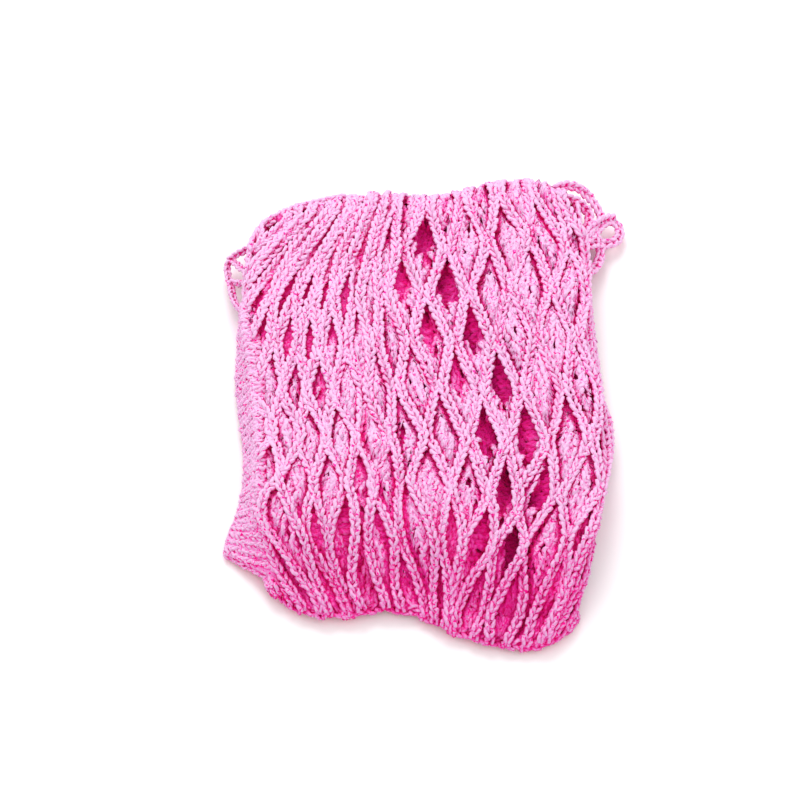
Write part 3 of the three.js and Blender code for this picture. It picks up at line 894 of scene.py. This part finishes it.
def lining_row(row):
    across = LINING_ACROSS
    spot = np.full_like(across, row * LINING_STRAY.along)
    rows = row + LINING_STRAY.amount * wander(across * LINING_STRAY.across, spot, LINING_STRAY.seed)
    points = bundle_point(across, rows, np.full_like(across, OUTER_LEVEL - LINING_DEPTH))
    valley = read_column(SECTIONS_ALONG, "valley", rows / FOLD_START_ROW)
    sunk = LINING_VALLEY * np.exp(-(((points[:, 0] - valley) / LINING_VALLEY_WIDTH) ** 2))
    points[:, 2] = np.maximum(points[:, 2] - sunk, LOWEST_MIDDLE)
    return Line(points, line_normals(across, rows, OUTER_LEVEL), LINING_DEPTH + sunk)


lining_lines = [lining_row(row) for row in LINING_ROWS]

# Net pieces
UNDER_OVERLAP = 0.1
UNDER_ROWS = np.arange(FOLD_END_ROW - UNDER_OVERLAP, ROWS, SAMPLE_STEP)


def under_lines(outer, level, mirrored):
    """Chains of one wall in the lower run."""
    lines = []
    for index in range(LINES):
        points, across = wall_line(index, UNDER_ROWS, outer, level, mirrored)
        shown = (across > 0) & (across < 1)
        if shown.sum() < FEWEST_POINTS:
            continue
        rows = UNDER_ROWS[shown]
        lines.append(Line(points[shown], line_normals(across[shown], rows, level), np.zeros_like(rows)))
    return lines


def keep_piece(obj, node):
    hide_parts(node)


def net_piece(name, lines, kind, ceiling=None):
    made = Yarn()
    for line in lines:
        made.chain(line, kind)
    keep_piece(made.piece(name, yarn, ceiling), "net_body")


half = len(outer_lines) // 2
net_piece("net_outer_left", outer_lines[:half], NET_CHAIN)
net_piece("net_outer_right", outer_lines[half:], NET_CHAIN)
net_piece("net_gathered_rising", rising_lines, FILL_CHAIN, ceiling)
net_piece("net_gathered_falling", falling_lines, FILL_CHAIN, ceiling)
net_piece("net_lining", lining_lines, LINING_CHAIN)
inner_under = under_lines(outer=False, level=-OUTER_LEVEL, mirrored=True)
outer_under = under_lines(outer=True, level=OUTER_LEVEL, mirrored=False)
net_piece("net_inner_under", inner_under, UNDER_CHAIN)
net_piece("net_outer_under", outer_under, UNDER_CHAIN)

# Loose chains at the sides, each a smooth line through points in mm
LOOSE_STEPS = 60
LooseChain = namedtuple("LooseChain", "kind x y z")
LOOSE_CHAINS = {
    "right outer": LooseChain(
        kind=LOOP_CHAIN,
        x=[66, 71.8, 76.9, 81.8, 86.1, 89.2, 90.6, 87.2, 81.8, 77],
        y=[123, 125, 125.4, 123.4, 119.8, 115, 110, 102.5, 94, 87],
        z=[21, 20, 18.5, 16, 13, 11, 9.5, 11, 15, 19],
    ),
    "right inner": LooseChain(
        kind=LOOP_CHAIN,
        x=[71, 77.8, 82.2, 84.4, 83.3, 80.8, 77],
        y=[118, 117, 115, 111, 105, 98, 90],
        z=[20, 17, 14, 12.5, 12.5, 15, 19],
    ),
    "right ring": LooseChain(
        kind=LOOP_CHAIN,
        x=[84, 87.8, 91.6, 96, 99.4, 100, 97, 91.8, 87.8, 83.2],
        y=[97, 103, 109, 111, 108.4, 103.8, 99.6, 97.2, 96, 92],
        z=[14, 11, 8.5, 7, 6, 5.5, 6, 7.5, 10, 14],
    ),
    "right tip": LooseChain(
        kind=LOOP_CHAIN,
        x=[85, 90.2, 94.2, 97.8],
        y=[104, 109.5, 111.8, 112.6],
        z=[13, 11, 9.5, 8],
    ),
    "right lower": LooseChain(
        kind=LOOP_CHAIN,
        x=[87.5, 89.2, 89.2, 86.2, 80],
        y=[99, 96.4, 89.5, 82, 75],
        z=[12, 9, 7, 8, 14],
    ),
    "right middle": LooseChain(
        kind=LOOP_CHAIN,
        x=[79, 85.5, 89.3, 90.4, 89.6, 86, 79],
        y=[8, 0, -10, -20, -30, -40, -48],
        z=[20, 16, 13, 11, 11, 15, 19],
    ),
    "near right": LooseChain(
        kind=LOOP_CHAIN,
        x=[77, 74.4, 71.2, 67.8, 63.2, 57, 50],
        y=[-86, -99, -109.5, -117.2, -123.2, -126.4, -127],
        z=[11, 8, 6, 4.5, 3.8, 3.5, 3.4],
    ),
    "left edge": LooseChain(
        kind=LOOP_CHAIN,
        x=[-88, -89.5, -88.2, -84, -77.5, -66, -54, -40],
        y=[62, 78, 90, 99, 104.2, 109.8, 113.2, 116],
        z=[15, 16.5, 18, 19, 20, 21, 21.5, 22],
    ),
    "left outer": LooseChain(
        kind=FINE_LOOP_CHAIN,
        x=[-86, -93, -98.5, -101, -100.2, -98.7, -96.5, -92],
        y=[91, 90, 88, 84, 77, 71, 61, 52],
        z=[16, 12, 9, 7.5, 7, 7.5, 10, 15],
    ),
    "left cross": LooseChain(kind=FINE_LOOP_CHAIN, x=[-88, -93, -99], y=[71, 71, 74], z=[16, 11.5, 8]),
    "left bridge": LooseChain(kind=FINE_LOOP_CHAIN, x=[-88, -93, -99], y=[75, 80, 87], z=[16, 11, 8.5]),
}

# Chain along the base, a little wavy
BASE_CHAIN_ACROSS = np.linspace(0.02, 0.98, 200)
BASE_CHAIN_OFFSET = (0, 1.5, -1.0)
BASE_CHAIN_FACING = (0.0, -0.7, 0.7)
Wave = namedtuple("Wave", "height speed")
BASE_WAVE_Y = Wave(0.6, 70)
BASE_WAVE_Z = Wave(0.5, 57)


def plain_line(points, facing):
    return Line(points, np.tile(facing, (len(points), 1)), np.zeros(len(points)))


loose = Yarn()
for chain in LOOSE_CHAINS.values():
    at = np.linspace(0, 1, LOOSE_STEPS)
    points = np.stack([read_table(values, at) for values in (chain.x, chain.y, chain.z)], axis=-1)
    loose.chain(plain_line(points, (0.0, 0.0, 1.0)), chain.kind)
on_base = np.zeros_like(BASE_CHAIN_ACROSS)
points = bundle_point(BASE_CHAIN_ACROSS, on_base, on_base) + np.array(BASE_CHAIN_OFFSET)
points[:, 1] += BASE_WAVE_Y.height * np.sin(BASE_CHAIN_ACROSS * BASE_WAVE_Y.speed)
points[:, 2] += BASE_WAVE_Z.height * np.sin(BASE_CHAIN_ACROSS * BASE_WAVE_Z.speed)
loose.chain(plain_line(points, BASE_CHAIN_FACING), NET_CHAIN)
keep_piece(loose.piece("net_loops", yarn), "net_body")

# Strap, in mm, from its far end to the turn at the near corner
STRAP_WIDTH = 22
STRAP_TUCK = 7
STRAP_TUCK_FALL = 0.15
STRAP_THICK = 4.6
STRAP_GROUND = 1.3
STRAP_ROW_PITCH = 4.2
STRAP_ROW_POINTS = 12
STRAP_STEPS = 60
TURN_STEPS = 10
RETURN_LENGTH = 60
RETURN_STEPS = 20
RETURN_SLANT = 0.3
StrapSection = namedtuple("StrapSection", "y edge_x edge_z lean skew")
STRAP_SECTIONS = [
    StrapSection(54, -91.8, 20.0, 86, 0),
    StrapSection(40, -90.6, 22.0, 82, 0),
    StrapSection(24, -87.6, 23.2, 71, 0),
    StrapSection(2, -84.4, 23.5, 67, 0),
    StrapSection(-18, -82.4, 23.2, 69, 1),
    StrapSection(-40, -81.6, 23.0, 69, 3),
    StrapSection(-60, -80.8, 20.8, 58, 7),
    StrapSection(-74, -79.2, 16.5, 39, 12),
    StrapSection(-84.5, -77.2, 11.0, 21, 15),
]


def strap_line(across):
    """A line along the strap, from the far end round the turn to the end of the lower run, and its facing."""
    at = np.linspace(0, 1, STRAP_STEPS)
    read = {name: read_column(STRAP_SECTIONS, name, at) for name in StrapSection._fields}
    lean = np.radians(read["lean"])
    down = max(across * (STRAP_WIDTH + STRAP_TUCK) - STRAP_TUCK, 0)
    tucked = max(STRAP_TUCK - across * (STRAP_WIDTH + STRAP_TUCK), 0)
    x = read["edge_x"] - down * np.cos(lean) + tucked
    y = read["y"] + read["skew"] * (across - 0.5)
    z = read["edge_z"] - down * np.sin(lean) - STRAP_TUCK_FALL * tucked
    points = np.stack([x, y, z], axis=-1)
    normals = np.stack([-np.sin(lean), np.zeros_like(lean), np.cos(lean)], axis=-1)

    end_x, end_y, end_z = points[-1]
    floor_z = STRAP_THICK / 2
    radius = (end_z - floor_z) / 2
    angle = np.linspace(0, np.pi, TURN_STEPS)[1:]
    turn_y = end_y - radius * np.sin(angle)
    turn_z = floor_z + radius + radius * np.cos(angle)
    turn = np.stack([np.full_like(angle, end_x), turn_y, turn_z], axis=-1)
    turn_normals = np.stack([np.zeros_like(angle), -np.sin(angle), np.cos(angle)], axis=-1)

    back = np.linspace(0, RETURN_LENGTH, RETURN_STEPS)[1:]
    lower = np.stack([end_x + RETURN_SLANT * back, end_y + back, np.full_like(back, floor_z)], axis=-1)
    lower_normals = np.tile([0.0, 0.0, -1.0], (len(back), 1))
    return np.concatenate([points, turn, lower]), np.concatenate([normals, turn_normals, lower_normals])


def thin_sheet(name, points, normals, thick, material):
    """A closed sheet over a grid of points."""
    rows, columns = points.shape[:2]
    face_up, face_down = points + normals * thick / 2, points - normals * thick / 2
    verts = np.concatenate([face_up.reshape(-1, 3), face_down.reshape(-1, 3)])
    number = np.arange(rows * columns).reshape(rows, columns)
    corners = [number[:-1, :-1], number[:-1, 1:], number[1:, 1:], number[1:, :-1]]
    upper = np.stack(corners, axis=-1).reshape(-1, 4)
    lower = upper[:, ::-1] + rows * columns
    rim = np.concatenate([number[0, :-1], number[:-1, -1], number[-1, :0:-1], number[:0:-1, 0]])
    ahead = np.roll(rim, -1)
    sides = np.stack([ahead, rim, rim + rows * columns, ahead + rows * columns], axis=-1)
    return new_piece(name, verts, np.concatenate([upper, lower, sides]).tolist(), material)


strap_lines = [strap_line(across) for across in np.linspace(0, 1, STRAP_ROW_POINTS)]
strap_points = np.stack([points for points, normals in strap_lines])
strap_normals = np.stack([normals for points, normals in strap_lines])
strap_lengths = line_lengths(strap_points[STRAP_ROW_POINTS // 2])
keep_piece(thin_sheet("strap_band", strap_points, strap_normals, STRAP_GROUND, yarn), "strap")

stitches = Yarn()
for at in np.arange(0, strap_lengths[-1], STRAP_ROW_PITCH):
    place = np.interp(at, strap_lengths, np.arange(len(strap_lengths)))
    low = min(int(place), len(strap_lengths) - 2)
    part = place - low
    points = strap_points[:, low] * (1 - part) + strap_points[:, low + 1] * part
    stitches.chain(Line(points, strap_normals[:, low], np.zeros(STRAP_ROW_POINTS)), STRAP_CHAIN)
keep_piece(stitches.piece("strap_stitches", yarn), "strap")

# Floor, in metres from here on
FLOOR_SIZE = 6
FLOOR_Z = -0.0002
FLOOR_COLOUR = (0.94, 0.94, 0.94, 1)
FLOOR_ROUGHNESS = 0.8
bpy.ops.mesh.primitive_plane_add(size=FLOOR_SIZE, location=(0, 0, FLOOR_Z))
floor = bpy.context.object
floor.name = "floor"
floor_material = bpy.data.materials.new("pale_floor")
floor_material.use_nodes = True
floor_shader = floor_material.node_tree.nodes["Principled BSDF"]
floor_shader.inputs["Base Color"].default_value = FLOOR_COLOUR
floor_shader.inputs["Roughness"].default_value = FLOOR_ROUGHNESS
floor.data.materials.append(floor_material)

# Light
scene = bpy.context.scene
scene.view_settings.view_transform = "Standard"
world = bpy.data.worlds.new("studio")
world.use_nodes = True
world.node_tree.nodes["Background"].inputs["Color"].default_value = (1, 1, 1, 1)
world.node_tree.nodes["Background"].inputs["Strength"].default_value = 1.0
scene.world = world


def soft_light(name, place, size, power):
    """A square light aimed at the origin."""
    data = bpy.data.lights.new(name, "AREA")
    data.size = size
    data.energy = power
    light = bpy.data.objects.new(name, data)
    light.location = place
    light.rotation_euler = (-Vector(place)).to_track_quat("-Z", "Y").to_euler()
    scene.collection.objects.link(light)


soft_light("key", place=(-0.3, 1.15, 1.3), size=0.9, power=15)
soft_light("fill", place=(0.8, -0.5, 1.6), size=1.2, power=3)

# Camera, at the photo's viewing angle
CAMERA_AIM = Vector((-0.01275, 0.0095, 0.0))
CAMERA_DISTANCE = 1.6
CAMERA_ELEVATION = math.radians(60)
SENSOR_WIDTH = 36
FRAME_WIDTH = 0.4
camera_data = bpy.data.cameras.new("camera")
camera_data.sensor_width = SENSOR_WIDTH
camera_data.lens = SENSOR_WIDTH * CAMERA_DISTANCE / FRAME_WIDTH
camera = bpy.data.objects.new("camera", camera_data)
towards_camera = Vector((0, -math.cos(CAMERA_ELEVATION), math.sin(CAMERA_ELEVATION)))
camera.location = CAMERA_AIM + towards_camera * CAMERA_DISTANCE
camera.rotation_euler = (-towards_camera).to_track_quat("-Z", "Y").to_euler()
scene.collection.objects.link(camera)
scene.camera = camera
